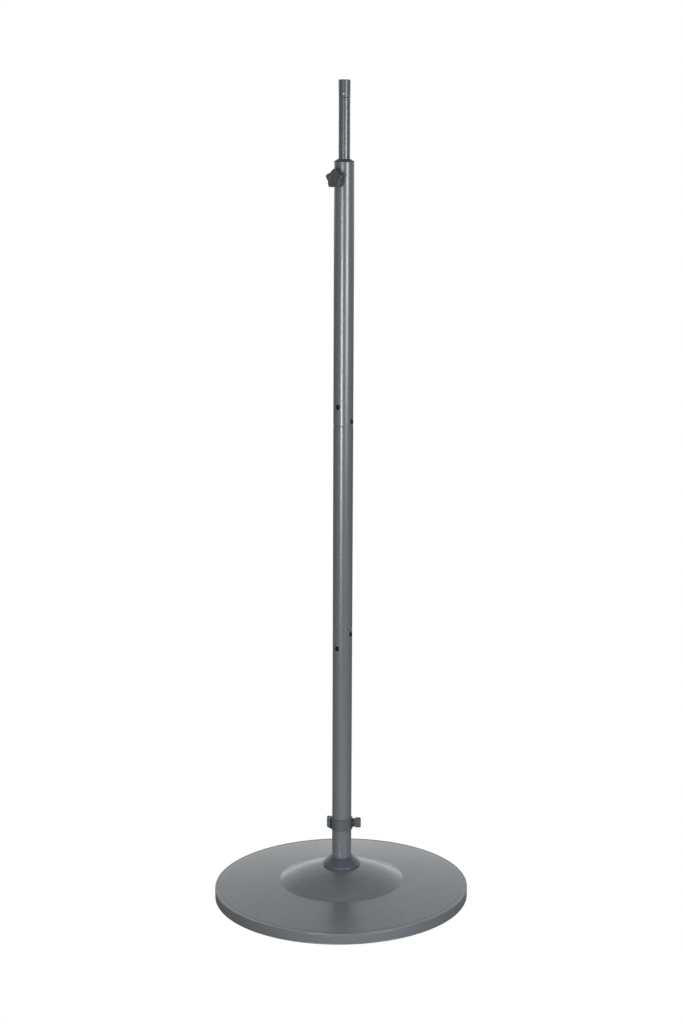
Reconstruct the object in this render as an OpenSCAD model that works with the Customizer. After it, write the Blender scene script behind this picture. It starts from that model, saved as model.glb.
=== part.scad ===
// Telescopic floor stand for a pole display: a weighted round base, a pole in three sections,
// and a thin mast that slides and turns in the pole and ends in a spigot with a snap button.
// Origin: centre of the base on the floor. +Z is up the pole, -Y is the front.
// Bearings round the pole are counted from the front, positive to the right.

/* [Base] */
// Diameter of the base cover
base_d = 500; // [440:10:560]
// Height of the base's outer rim above the floor
rim_h = 22; // [21:0.5:24]
// Rounding of the cover's outer edge
rim_round = 2; // [2:0.5:4]
// Radius of the shallow crease inside the edge
crease_r = 244; // [200:1:244]
// Depth of the crease
crease_depth = 0.4; // [0.3:0.1:1]
// Height at which the plate meets the dome
dome_foot_z = 32; // [31:0.2:33]
// Rise of the plate's middle above a straight cone
plate_bulge = 0.6; // [0:0.1:0.8]
// Radius of the sphere that the dome is cut from
dome_sphere_r = 246; // [238:1:254]
// Height of that sphere's top
dome_apex_z = 64.4; // [64:0.1:65]
// Height of the flat seat under the pole
seat_z = 62.5; // [62:0.1:63]
// Sheet thickness of the cover
cover_t = 1.5; // [1:0.1:2]
// Sheet thickness of the bottom plate
pan_t = 1.2; // [0.8:0.1:1.3]
// Radius of the rolled hem's bead
hem_r = 1.4; // [1.2:0.1:1.45]
// Radius of the ballast disc
weight_r = 240; // [210:1:242]
// Height of the ballast disc's flat top
weight_top_z = 17.4; // [15:0.1:17.5]
// Radius of the ballast's hub
hub_r = 62; // [40:1:70]
// Height of the ballast's hub
hub_z = 36; // [30:1:40]
// Number of rubber feet
foot_count = 6; // [4:1:8]
// Radius of the ring of feet
foot_ring_r = 215; // [200:1:225]
// Radius of a foot
foot_r = 12; // [9:0.5:14]
// Height of the feet below the bottom plate
foot_h = 2; // [1.8:0.1:2.4]
// Number of screws in the bottom plate
pan_screw_count = 4; // [3:1:6]
// Radius of the ring of screws
pan_screw_ring_r = 185; // [150:1:190]

/* [Foot of the pole] */
// Shank diameter of the centre bolt
bolt_d = 12; // [10:1:12]
// Width of the bolt's head across its flats
bolt_flats = 18; // [16:1:19]
// Height of the bolt's head
bolt_head_h = 7.5; // [6:0.5:7.5]
// Length of the bolt's shank
bolt_len = 80; // [78:1:90]
// Thickness of each of the bolt's washers
washer_t = 2.5; // [2:0.1:2.5]
// Radius of the wide washer
load_washer_r = 18; // [15:1:22]
// Length of the threaded plug in the pole
plug_len = 25; // [15:1:30]
// Radius of the trim collar's lip
collar_r = 36.5; // [34:0.5:40]
// Height of the trim collar
collar_h = 17.8; // [15:0.1:20]

/* [Pole] */
// Outside diameter of the pole
pole_d = 38; // [36:0.5:39]
// Wall of the pole
pole_wall = 1.5; // [1.2:0.1:1.8]
// Height of the lower joint line
lower_joint_z = 544.5; // [500:0.5:580]
// Height of the upper joint line
upper_joint_z = 942; // [900:0.5:980]
// Height of the upper tube's top
pole_top_z = 1434; // [1400:1:1460]
// Gap that shows between two tubes at a joint
joint_gap = 0.3; // [0.1:0.1:0.6]
// Chamfer on the tube ends
tube_chamfer = 0.5; // [0.2:0.1:0.7]
// Length of a coupling sleeve
coupler_len = 120; // [100:2:140]
// Wall of a coupling sleeve
coupler_wall = 2.5; // [2:0.1:3]
// Bearing of the front-left joint screws
bearing_a = -33; // [-45:1:-20]
// Bearing of the front-right joint screws
bearing_b = 57; // [45:1:70]
// Head diameter of a joint screw
screw_head_d = 9.5; // [8:0.5:10]
// Head height of a joint screw
screw_head_h = 2.75; // [2:0.05:3]
// Thread diameter of a joint screw
screw_d = 5; // [4:0.5:5]

/* [Cable ring] */
// Height of the ring's lower edge
ring_z = 136.8; // [130:0.1:200]
// Height of the ring itself
ring_h = 22.5; // [20:0.5:28]
// Outside radius of the ring
ring_r = 21.5; // [21:0.1:23]
// Height of the thumb screw's axis above the ring's lower edge
ring_screw_up = 11.7; // [9:0.1:13]
// Radius of the thumb screw's head
ring_knob_r = 10; // [9:0.5:12]
// Reach of the cable lug from the pole's axis
lug_reach = 29.4; // [29:0.1:32]
// Width of the cable lug
lug_w = 12; // [10:0.5:14]
// Diameter of the lug's eye
eye_d = 5.8; // [4:0.1:6]

/* [Clamp] */
// Bearing of the clamp screw
clamp_bearing = -30; // [-45:1:-20]
// Height of the clamp screw
clamp_z = 1403; // [1395:1:1410]
// Thread diameter of the clamp screw
stud_d = 6; // [5:0.5:6]
// Radius of the star knob over its lobes
star_r = 18.2; // [17:0.1:20]
// Thickness of the star
star_t = 12.5; // [8:0.5:14]
// Radius of the brake pad
pad_r = 5; // [4:0.1:5]
// Length of the guide inside the upper tube
guide_len = 60; // [50:1:70]
// Height of the cap's chamfer above the tube
cap_h = 5; // [3:0.5:8]

/* [Mast] */
// Outside diameter of the mast
mast_d = 22; // [20:0.5:22]
// Wall of the mast
mast_wall = 1.5; // [1.2:0.1:1.8]
// Height of the mast's lower end
mast_foot_z = 1100; // [1100:1:1120]
// Height of the mast's upper end, where the fitting starts
mast_top_z = 1550; // [1545:1:1560]
// Height of the glide on the mast's lower end
glide_h = 30; // [20:1:40]
// Thickness of a retaining ring
clip_t = 1.2; // [1:0.1:1.5]
// Outside radius of a retaining ring
clip_r = 13.5; // [12.5:0.5:15]

/* [Top fitting] */
// Outside radius of the spigot
spigot_r = 11.4; // [11:0.1:12]
// Length of the spigot above the mast
spigot_h = 32.5; // [28:0.5:40]
// Radius of the bore through the fitting
spigot_bore_r = 8; // [7.5:0.1:8]
// Length of the fitting's tail inside the mast
tail_len = 40; // [35:1:50]
// Height of the snap button above the fitting's shoulder
button_up = 7; // [6:0.5:10]
// Radius of the snap button
button_r = 3; // [2.5:0.1:3.5]
// How far the snap button stands out of the spigot
button_out = 2; // [1.5:0.1:2]
// Bearing of the snap button
button_bearing = -12; // [-20:1:20]
// Depth of the relief round the snap button
relief_depth = 0.2; // [0.16:0.02:0.4]

/* [Hidden] */
$fn = 96;

// Clearances, all radial
run_gap = 0.05;       // between pieces that slide or turn
snug_gap = 0.02;      // between pieces that are pressed, welded or threaded together
slip_gap = 0.1;       // between a trim piece and the pole
cut = 1;              // how far a cutting tool runs past a face

// Base
base_r = base_d / 2;
dome_cz = dome_apex_z - dome_sphere_r;
hem_cz = foot_h - 0.1;
hem_cr = base_r - hem_r;
cover_z0 = hem_cz + hem_r + run_gap;
pan_top_z = foot_h + pan_t;
weight_z0 = pan_top_z + run_gap;
bolt_gap = 0.5;
bolt_head_z = 3.7;
pocket_z = bolt_head_z + bolt_head_h + 2 * washer_t;
pocket_r = 44;
foot_neck_r = 4;
foot_barb_r = 5.2;
pan_screw_d = 5;
hub_foot_r = 118;

// Pole
pole_r = pole_d / 2;
pole_bore_r = pole_r - pole_wall;
coupler_r = pole_bore_r - slip_gap;
// [height, bearing] of each screw of a joint
lower_screws = [[lower_joint_z - 9.5, bearing_b], [lower_joint_z - 37, bearing_a]];
upper_screws = [[upper_joint_z + 8.5, bearing_b], [upper_joint_z + 36, bearing_a]];

// Cable ring
ring_bore_r = pole_r + slip_gap;
ring_screw_z = ring_z + ring_screw_up;
ring_boss_r = 8.5;
ring_boss_end = 25;
ring_insert_start = 22;
ring_insert_r = 4;
ring_thread_d = 5;
ring_pad_r = 3;
ring_pad_end = 20.6;
ring_knob_start = 25.2;
ring_knob_end = 37.7;
eye_r = 24.8;
lug_corner_r = 3;
// Side outline of the cable lug, in [distance from the axis, height above the ring's lower edge]
lug_outline = [
    [20.4, 1.2], [21.6, 1.2], [24.6, 2.6], [lug_reach - 0.6, 5], [lug_reach, 6.2], [lug_reach, 22.8],
    [lug_reach - 1, 23.8], [20.4, 23.8]
];

// Clamp
boss_r = 7.5;
boss_end = 24.5;
pad_end = 14.6;
stud_start = 12.65;
knob_start = 25;
star_start = 27;
star_disc_r = 13;
lobe_r = 3.8;
cap_top_r = 12.7;

// Mast
mast_r = mast_d / 2;
mast_bore_r = mast_r - mast_wall;
clip_groove = 0.6;
lower_clip_z = mast_foot_z + 5;
glide_z = lower_clip_z + clip_t + 0.1;
upper_clip_z = glide_z + glide_h + 0.1;

// Top fitting
button_z = mast_top_z + button_up;
relief_top_z = button_z + 4;
spigot_top_z = mast_top_z + spigot_h;
flange_end = 6.85;
pin_z = mast_top_z - 15;
pin_r = 1.5;
pin_bearings = [120, 240];

// Points along an arc about [cx, cy], from angle a0 to angle a1
function arc(cx, cy, r, a0, a1, steps) = [
    for (i = [0:steps]) let (a = a0 + (a1 - a0) * i / steps) [cx + r * cos(a), cy + r * sin(a)]
];

// Radius and polar angle at which the dome's sphere, thinned by t, passes height z
function dome_r_at(z, t) = sqrt(pow(dome_sphere_r - t, 2) - pow(z - dome_cz, 2));
function dome_angle_at(z, t) = atan2(z - dome_cz, dome_r_at(z, t));

// Points of the slightly arched plate, lying t inside the outer face, from the crease inwards
function plate_line(t) = [
    for (i = [1:7]) let (u = i / 8, foot_r = dome_r_at(dome_foot_z, 0), crease_z = rim_h - crease_depth)
        [crease_r + (foot_r - crease_r) * u, crease_z + (dome_foot_z - crease_z) * u + 4 * plate_bulge * u * (1 - u) - t]
];

// Half outline of the cover's face, lying t inside the outer face, closed down to height z0
function cover_outline(t, z0) = concat(
    [[0, z0], [base_r - t, z0]],
    arc(base_r - rim_round, rim_h - rim_round, rim_round - t, 0, 90, 8),
    [[crease_r + 2, rim_h - t], [crease_r, rim_h - crease_depth - t]],
    plate_line(t),
    arc(0, dome_cz, dome_sphere_r - t, dome_angle_at(dome_foot_z - t, t), dome_angle_at(seat_z - t, t), 20),
    [[0, seat_z - t]]
);

// Places children on the pole at a bearing and height, with their +Z pointing outwards
module radial(bearing, z) {
    rotate([0, 0, bearing])
        translate([0, 0, z])
            rotate([90, 0, 0])
                children();
}

// Repeats children round the base
module ring_of(count, r, start = 0) {
    for (i = [0:count - 1])
        rotate([0, 0, start + i * 360 / count])
            translate([r, 0, 0])
                children();
}

// Solid of revolution of a rectangle: radii r0 to r1, heights z0 to z1, chamfer c on the outer edges
module sleeve(r0, r1, z0, z1, c = 0) {
    rotate_extrude()
        polygon(c == 0
            ? [[r0, z0], [r1, z0], [r1, z1], [r0, z1]]
            : [[r0, z0], [r1 - c, z0], [r1, z0 + c], [r1, z1 - c], [r1 - c, z1], [r0, z1]]);
}

// Domed screw head of radius r and height h, standing on z = 0
module dome_head(r, h) {
    sphere_r = (r * r + h * h) / (2 * h);
    rotate_extrude()
        intersection() {
            translate([0, h - sphere_r]) circle(sphere_r);
            square([r, h]);
        }
}

module rubber_feet() {
    color([0.07, 0.07, 0.075])
        ring_of(foot_count, foot_ring_r, 30) {
            sleeve(0, foot_r, 0, foot_h, 0.6);
            cylinder(r = foot_neck_r - run_gap, h = pan_top_z + 2);
            translate([0, 0, pan_top_z + run_gap])
                cylinder(r1 = foot_barb_r, r2 = foot_neck_r - 1, h = 2.4);
        }
}

module base_pan() {
    color([0.3, 0.31, 0.32])
        difference() {
            rotate_extrude() {
                translate([pocket_r, foot_h]) square([hem_cr - pocket_r, pan_t]);
                translate([pocket_r, foot_h]) square([pan_t, pocket_z + pan_t - foot_h]);
                translate([bolt_d / 2 + bolt_gap, pocket_z]) square([pocket_r - bolt_d / 2, pan_t]);
                translate([hem_cr, hem_cz]) circle(hem_r, $fn = 32);
            }
            ring_of(foot_count, foot_ring_r, 30)
                cylinder(r = foot_neck_r, h = pan_top_z + cut);
            ring_of(pan_screw_count, pan_screw_ring_r, 45)
                cylinder(d = pan_screw_d + 0.3, h = pan_top_z + cut);
        }
}

module pan_screws() {
    head_h = 1.4;
    slot_depth = 0.8;
    color([0.5, 0.5, 0.48])
        ring_of(pan_screw_count, pan_screw_ring_r, 45)
            difference() {
                union() {
                    translate([0, 0, foot_h]) mirror([0, 0, 1]) dome_head(4.6, head_h);
                    translate([0, 0, foot_h - 0.1]) cylinder(d = pan_screw_d, h = 11);
                }
                for (a = [0, 90])
                    rotate([0, 0, a])
                        translate([-2.4, -0.45, foot_h - head_h - cut]) cube([4.8, 0.9, slot_depth + cut]);
            }
}

module base_weight() {
    color([0.55, 0.55, 0.53])
        difference() {
            rotate_extrude()
                polygon([
                    [bolt_d / 2 + bolt_gap, pocket_z + pan_t + run_gap],
                    [pocket_r + 4, pocket_z + pan_t + run_gap],
                    [pocket_r + 4, weight_z0],
                    [weight_r - 2, weight_z0],
                    [weight_r, weight_z0 + 2],
                    [weight_r, weight_top_z - 2],
                    [weight_r - 2, weight_top_z],
                    [hub_foot_r, weight_top_z],
                    [hub_r, hub_z],
                    [bolt_d / 2 + bolt_gap, hub_z]
                ]);
            ring_of(foot_count, foot_ring_r, 30)
                cylinder(r = foot_barb_r + 1.8, h = pan_top_z + 4);
            ring_of(pan_screw_count, pan_screw_ring_r, 45)
                cylinder(d = pan_screw_d + 2 * snug_gap, h = foot_h + 11.5);
        }
}

module base_cover() {
    color([0.46, 0.475, 0.49])
        difference() {
            rotate_extrude($fn = 180)
                difference() {
                    polygon(cover_outline(0, cover_z0));
                    polygon(cover_outline(cover_t, cover_z0 - cut));
                }
            translate([0, 0, seat_z - cover_t - cut])
                cylinder(d = bolt_d + 2 * bolt_gap, h = cover_t + 2 * cut);
        }
}

module centre_bolt() {
    color([0.62, 0.62, 0.6]) {
        translate([0, 0, bolt_head_z])
            cylinder(d = bolt_flats / cos(30), h = bolt_head_h, $fn = 6);
        sleeve(0, bolt_d / 2, bolt_head_z + bolt_head_h - cut, bolt_head_z + bolt_head_h + bolt_len, 0.8);
    }
}

module lock_washer() {
    color([0.6, 0.6, 0.58])
        rotate_extrude(angle = 350)
            translate([bolt_d / 2 + 0.1, bolt_head_z + bolt_head_h]) square([4.4, washer_t]);
}

module load_washer() {
    color([0.6, 0.6, 0.58])
        sleeve(bolt_d / 2 + 0.25, load_washer_r, pocket_z - washer_t, pocket_z, 0.3);
}

module spacer_sleeve() {
    color([0.55, 0.55, 0.54])
        sleeve(bolt_d / 2 + bolt_gap, 15, hub_z, seat_z - cover_t, 0.5);
}

module tube_plug() {
    color([0.55, 0.55, 0.54])
        sleeve(bolt_d / 2 + snug_gap, pole_bore_r - snug_gap, seat_z, seat_z + plug_len, 1);
}

// Half outline of the bell, lying t inside its outer face
function bell(t) = [
    [collar_r - t, 0],
    [collar_r - t, 2.6 - t / 3],
    [collar_r - 1 - 0.9 * t, 4.4 - t / 2],
    [collar_r - 5.4 - 0.7 * t, 8.8 - 0.7 * t],
    [collar_r - 10.8 - 0.7 * t, 13.6 - 0.7 * t],
    [pole_r + 1.8, collar_h - t]
];

module foot_collar() {
    lip = 2.4;
    color([0.3, 0.32, 0.37])
        translate([0, 0, dome_cz + sqrt(pow(dome_sphere_r, 2) - pow(collar_r - lip, 2)) + run_gap])
            rotate_extrude()
                difference() {
                    polygon(concat([[0, 0]], bell(0), [[0, collar_h]]));
                    polygon(concat([[0, -cut], [collar_r - lip, -cut]], bell(lip), [[0, collar_h - lip]]));
                    translate([0, -cut]) square([ring_bore_r, collar_h + 2 * cut]);
                }
}

// One section of the pole with plain chamfered ends and radial screw holes
module pole_section(z0, z1, holes) {
    difference() {
        sleeve(pole_bore_r, pole_r, z0, z1, tube_chamfer);
        for (h = holes)
            radial(h[1], h[0]) cylinder(d = screw_d + 0.5, h = pole_r + cut);
    }
}

// Coupling sleeve centred on a joint line, with a threaded hole for each screw
module coupler(joint_z, holes) {
    difference() {
        sleeve(coupler_r - coupler_wall, coupler_r, joint_z - coupler_len / 2, joint_z + coupler_len / 2, 1);
        for (h = holes)
            radial(h[1], h[0]) cylinder(d = screw_d + 2 * snug_gap, h = pole_r);
    }
}

// Button-head screws with hex sockets
module joint_screws(holes) {
    for (h = holes)
        radial(h[1], h[0])
            difference() {
                union() {
                    translate([0, 0, pole_r - 5.5]) cylinder(d = screw_d, h = 5.6);
                    translate([0, 0, pole_r]) dome_head(screw_head_d / 2, screw_head_h);
                }
                translate([0, 0, pole_r + screw_head_h - 1.7])
                    cylinder(d = 3 / cos(30), h = 1.7 + cut, $fn = 6);
            }
}

module lower_tube() {
    color([0.4, 0.415, 0.43]) pole_section(seat_z, lower_joint_z - joint_gap / 2, lower_screws);
}

module middle_tube() {
    color([0.44, 0.455, 0.47])
        pole_section(lower_joint_z + joint_gap / 2, upper_joint_z - joint_gap / 2, []);
}

module upper_tube() {
    color([0.42, 0.42, 0.43])
        difference() {
            pole_section(upper_joint_z + joint_gap / 2, pole_top_z, upper_screws);
            radial(clamp_bearing, clamp_z) cylinder(d = stud_d + 2, h = pole_r + cut);
        }
}

module lower_coupler() {
    color([0.5, 0.5, 0.5]) coupler(lower_joint_z, lower_screws);
}

module upper_coupler() {
    color([0.5, 0.5, 0.5]) coupler(upper_joint_z, upper_screws);
}

module lower_joint_screws() {
    color([0.08, 0.08, 0.09]) joint_screws(lower_screws);
}

module upper_joint_screws() {
    color([0.08, 0.08, 0.09]) joint_screws(upper_screws);
}

// Lug on the left of the ring with an upright eye for the head's cable, and a moulding nib on its face
module cable_lug() {
    difference() {
        intersection() {
            translate([0, lug_w / 2, ring_z])
                rotate([90, 0, 0])
                    linear_extrude(lug_w)
                        mirror([1, 0]) polygon(lug_outline);
            linear_extrude(ring_z + 2 * ring_h) {
                translate([-lug_reach, -lug_w / 2 + lug_corner_r])
                    square([lug_reach - pole_r, lug_w - 2 * lug_corner_r]);
                translate([-lug_reach + lug_corner_r, -lug_w / 2])
                    square([lug_reach - lug_corner_r - pole_r, lug_w]);
                for (side = [-1, 1])
                    translate([-lug_reach + lug_corner_r, side * (lug_w / 2 - lug_corner_r)])
                        circle(lug_corner_r);
            }
        }
        translate([-eye_r, 0, ring_z]) cylinder(d = eye_d, h = 2 * ring_h);
    }
    radial(-90, ring_z + 6.7)
        translate([0, 0, lug_reach - 1]) cylinder(r = 1.2, h = 2.9);
}

module cable_ring() {
    color([0.26, 0.28, 0.31])
        difference() {
            union() {
                sleeve(ring_bore_r - cut, ring_r, ring_z, ring_z + ring_h, 1);
                radial(90, ring_screw_z)
                    translate([0, 0, ring_bore_r]) cylinder(r = ring_boss_r, h = ring_boss_end - ring_bore_r);
                cable_lug();
            }
            translate([0, 0, ring_z - cut]) cylinder(r = ring_bore_r, h = ring_h + 2 * cut);
            radial(90, ring_screw_z) {
                cylinder(r = ring_pad_r + run_gap, h = ring_insert_start + run_gap);
                translate([0, 0, ring_insert_start]) cylinder(r = ring_insert_r, h = ring_boss_end);
            }
        }
}

module ring_insert() {
    color([0.72, 0.58, 0.3])
        radial(90, ring_screw_z)
            sleeve(ring_thread_d / 2 + run_gap, ring_insert_r - snug_gap, ring_insert_start, ring_boss_end, 0.3);
}

module ring_pad() {
    color([0.85, 0.84, 0.8])
        difference() {
            radial(90, ring_screw_z)
                translate([0, 0, pole_r - cut]) cylinder(r = ring_pad_r, h = ring_pad_end - pole_r + cut);
            translate([0, 0, ring_z]) cylinder(r = pole_r + run_gap, h = ring_h);
        }
}

module ring_stud() {
    color([0.6, 0.6, 0.58])
        radial(90, ring_screw_z)
            sleeve(0, ring_thread_d / 2, ring_pad_end, ring_knob_start + 7, 0.4);
}

module ring_knob() {
    flute_r = 2.2;
    color([0.2, 0.21, 0.22])
        radial(90, ring_screw_z)
            difference() {
                union() {
                    sleeve(0, ring_boss_r, ring_knob_start, ring_knob_start + 3);
                    sleeve(0, ring_knob_r, ring_knob_start + 1, ring_knob_end, 1.2);
                }
                translate([0, 0, ring_knob_start - cut])
                    cylinder(r = ring_thread_d / 2 + snug_gap, h = 8 + snug_gap);
                ring_of(12, ring_knob_r + flute_r - 0.7)
                    translate([0, 0, ring_knob_start]) cylinder(r = flute_r, h = 14, $fn = 24);
            }
}

module guide_bush() {
    color([0.3, 0.31, 0.33])
        difference() {
            rotate_extrude()
                polygon([
                    [mast_r + run_gap, pole_top_z - guide_len],
                    [pole_bore_r - 1, pole_top_z - guide_len],
                    [pole_bore_r - run_gap, pole_top_z - guide_len + 2],
                    [pole_bore_r - run_gap, pole_top_z],
                    [pole_r, pole_top_z],
                    [pole_r, pole_top_z + 0.5],
                    [cap_top_r, pole_top_z + cap_h],
                    [mast_r + run_gap, pole_top_z + cap_h]
                ]);
            radial(clamp_bearing, clamp_z) cylinder(r = pad_r + slip_gap, h = pole_r);
        }
}

module clamp_boss() {
    color([0.4, 0.4, 0.41])
        difference() {
            radial(clamp_bearing, clamp_z) sleeve(stud_d / 2 + run_gap, boss_r, pole_r - 2, boss_end, 0.5);
            translate([0, 0, clamp_z - 2 * boss_r]) cylinder(r = pole_r, h = 4 * boss_r);
        }
}

module clamp_pad() {
    color([0.85, 0.84, 0.8])
        difference() {
            radial(clamp_bearing, clamp_z)
                translate([0, 0, mast_r - 2]) cylinder(r = pad_r, h = pad_end - mast_r + 2);
            translate([0, 0, clamp_z - 2 * pad_r]) cylinder(r = mast_r + run_gap, h = 4 * pad_r);
            radial(clamp_bearing, clamp_z)
                translate([0, 0, stud_start - snug_gap]) cylinder(r = stud_d / 2 + run_gap, h = pad_end);
        }
}

module knob_stud() {
    color([0.6, 0.6, 0.58])
        radial(clamp_bearing, clamp_z) sleeve(0, stud_d / 2, stud_start, knob_start + 8, 0.5);
}

module star_knob() {
    color([0.17, 0.17, 0.18])
        radial(clamp_bearing, clamp_z)
            difference() {
                union() {
                    sleeve(0, 9, knob_start, knob_start + 4, 0.6);
                    sleeve(0, star_disc_r, star_start, star_start + star_t, 1);
                    for (i = [0:4])
                        rotate([0, 0, 90 + i * 72]) {
                            translate([star_r - lobe_r, 0, 0]) sleeve(0, lobe_r, star_start, star_start + star_t, 0.8);
                            translate([0, -lobe_r + 0.8, star_start])
                                cube([star_r - lobe_r, 2 * lobe_r - 1.6, star_t - 0.4]);
                        }
                }
                translate([0, 0, knob_start - cut]) cylinder(r = stud_d / 2 + snug_gap, h = 9 + snug_gap);
            }
}

module mast_glide() {
    color([0.8, 0.79, 0.75])
        sleeve(mast_r + run_gap, pole_bore_r - run_gap, glide_z, glide_z + glide_h, 1);
}

module retaining_rings() {
    color([0.5, 0.5, 0.5])
        for (z = [lower_clip_z, upper_clip_z])
            rotate_extrude(angle = 325)
                translate([mast_r - clip_groove + snug_gap, z]) square([clip_r - mast_r + clip_groove, clip_t]);
}

module mast_tube() {
    color([0.42, 0.42, 0.43])
        difference() {
            sleeve(mast_bore_r, mast_r, mast_foot_z, mast_top_z, 0.4);
            for (z = [lower_clip_z, upper_clip_z])
                sleeve(mast_r - clip_groove, mast_r + cut, z - snug_gap, z + clip_t + snug_gap);
            for (b = pin_bearings)
                radial(b, pin_z) cylinder(r = pin_r + snug_gap, h = mast_r + cut);
        }
}

module top_fitting() {
    shoulder_gap = 0.4;
    color([0.42, 0.42, 0.43])
        difference() {
            union() {
                sleeve(spigot_bore_r, mast_bore_r - snug_gap, mast_top_z - tail_len, mast_top_z + 2);
                sleeve(spigot_bore_r, spigot_r - relief_depth, mast_top_z + shoulder_gap, relief_top_z + 1);
                sleeve(spigot_bore_r, spigot_r, relief_top_z, spigot_top_z, 1);
            }
            radial(button_bearing, button_z) cylinder(r = button_r + run_gap, h = spigot_r + cut);
            for (b = pin_bearings)
                radial(b, pin_z) cylinder(r = pin_r + snug_gap, h = mast_r + cut);
        }
}

module fitting_pins() {
    color([0.5, 0.5, 0.5])
        for (b = pin_bearings)
            radial(b, pin_z)
                translate([0, 0, spigot_bore_r + 0.1]) cylinder(r = pin_r, h = mast_r - spigot_bore_r - 0.2);
}

module snap_button() {
    flange_t = 1;
    crown_h = 1.6;
    crown_z = spigot_r + button_out - crown_h;
    color([0.75, 0.75, 0.74])
        radial(button_bearing, button_z) {
            translate([0, 0, flange_end - flange_t]) cylinder(r = button_r + 1, h = flange_t);
            translate([0, 0, flange_end - flange_t]) cylinder(r = button_r, h = crown_z - flange_end + flange_t);
            translate([0, 0, crown_z]) dome_head(button_r, crown_h);
        }
}

module button_spring() {
    leaf_t = 0.4;
    leaf_w = 6;
    front = flange_end - 1;
    back = 7.2;
    mid = (front - back) / 2;
    bend_r = (front + back) / 2;
    bend_z = mast_top_z - 30;
    color([0.6, 0.6, 0.6])
        rotate([0, 0, button_bearing + 90])
            translate([0, leaf_w / 2, bend_z])
                rotate([90, 0, 0])
                    linear_extrude(leaf_w)
                        mirror([1, 0]) {
                            translate([front - leaf_t, 0]) square([leaf_t - 0.01, button_z - bend_z + 5]);
                            translate([-back, 0]) square([leaf_t, 20]);
                            translate([mid, 0])
                                difference() {
                                    circle(bend_r - 0.01);
                                    circle(bend_r - leaf_t);
                                    translate([-2 * bend_r, 0]) square([4 * bend_r, 2 * bend_r]);
                                }
                        }
}

rubber_feet();
base_pan();
pan_screws();
base_weight();
base_cover();
centre_bolt();
lock_washer();
load_washer();
spacer_sleeve();
tube_plug();
foot_collar();
lower_tube();
cable_ring();
ring_insert();
ring_pad();
ring_stud();
ring_knob();
lower_coupler();
lower_joint_screws();
middle_tube();
upper_coupler();
upper_joint_screws();
upper_tube();
guide_bush();
clamp_boss();
clamp_pad();
knob_stud();
star_knob();
mast_glide();
retaining_rings();
mast_tube();
top_fitting();
fitting_pins();
snap_button();
button_spring();
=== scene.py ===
import math

import bmesh
import bpy
from mathutils import Matrix, Vector, noise


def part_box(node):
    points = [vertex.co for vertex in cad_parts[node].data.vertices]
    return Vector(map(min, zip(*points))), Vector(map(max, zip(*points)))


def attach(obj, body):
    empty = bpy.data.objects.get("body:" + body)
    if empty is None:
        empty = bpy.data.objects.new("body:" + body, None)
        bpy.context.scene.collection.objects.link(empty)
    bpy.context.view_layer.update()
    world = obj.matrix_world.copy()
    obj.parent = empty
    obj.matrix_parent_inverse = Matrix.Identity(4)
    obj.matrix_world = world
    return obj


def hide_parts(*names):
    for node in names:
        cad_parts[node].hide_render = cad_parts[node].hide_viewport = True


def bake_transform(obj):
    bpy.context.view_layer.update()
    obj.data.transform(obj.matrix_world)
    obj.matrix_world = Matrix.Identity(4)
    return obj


# Telescopic floor stand for a pole display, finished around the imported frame.
# Meshes are drawn in millimetres and scaled by MM. Bearings round the pole are degrees from the front (-Y),
# positive to the right (+X), as in the frame.

MM = 0.001
EPS = 1e-6

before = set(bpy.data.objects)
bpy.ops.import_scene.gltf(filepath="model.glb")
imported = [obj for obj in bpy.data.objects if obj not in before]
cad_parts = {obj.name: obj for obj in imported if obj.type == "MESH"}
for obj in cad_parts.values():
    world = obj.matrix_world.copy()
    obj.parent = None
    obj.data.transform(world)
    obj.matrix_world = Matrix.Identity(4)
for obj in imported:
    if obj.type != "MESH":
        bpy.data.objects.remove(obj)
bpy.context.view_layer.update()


def low(node, axis=2):
    """Lowest coordinate of a CAD node along an axis, in mm."""
    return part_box(node)[0][axis] / MM


def high(node, axis=2):
    """Highest coordinate of a CAD node along an axis, in mm."""
    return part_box(node)[1][axis] / MM


# ---------------------------------------------------------------- driving dimensions, in mm

BASE_R = round(high("base_cover", 0))
POLE_R = 19.0
POLE_BORE = 17.5
MAST_R = 11.0
MAST_BORE = 9.5
RUN_GAP = 0.05
SNUG_GAP = 0.02

CLAMP_BEARING = -30.0
CLAMP_Z = (low("knob_stud") + high("knob_stud")) / 2
BUTTON_BEARING = -12.0
BUTTON_Z = (low("snap_button") + high("snap_button")) / 2
RING_Z = low("cable_ring")
RING_SCREW_Z = (low("ring_stud") + high("ring_stud")) / 2
LOWER_JOINT_Z = (high("lower_tube") + low("middle_tube")) / 2
UPPER_JOINT_Z = (high("middle_tube") + low("upper_tube")) / 2
# (height, bearing) of each screw of a joint
LOWER_SCREWS = [(LOWER_JOINT_Z - 9.5, 57.0), (LOWER_JOINT_Z - 37.0, -33.0)]
UPPER_SCREWS = [(UPPER_JOINT_Z + 8.5, 57.0), (UPPER_JOINT_Z + 36.0, -33.0)]


# ---------------------------------------------------------------- outlines

def arc(cx, cz, r, a0, a1, steps):
    """Points along an arc about (cx, cz), from angle a0 to angle a1 in degrees."""
    angles = [math.radians(a0 + (a1 - a0) * i / steps) for i in range(steps + 1)]
    return [(cx + r * math.cos(a), cz + r * math.sin(a)) for a in angles]


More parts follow.
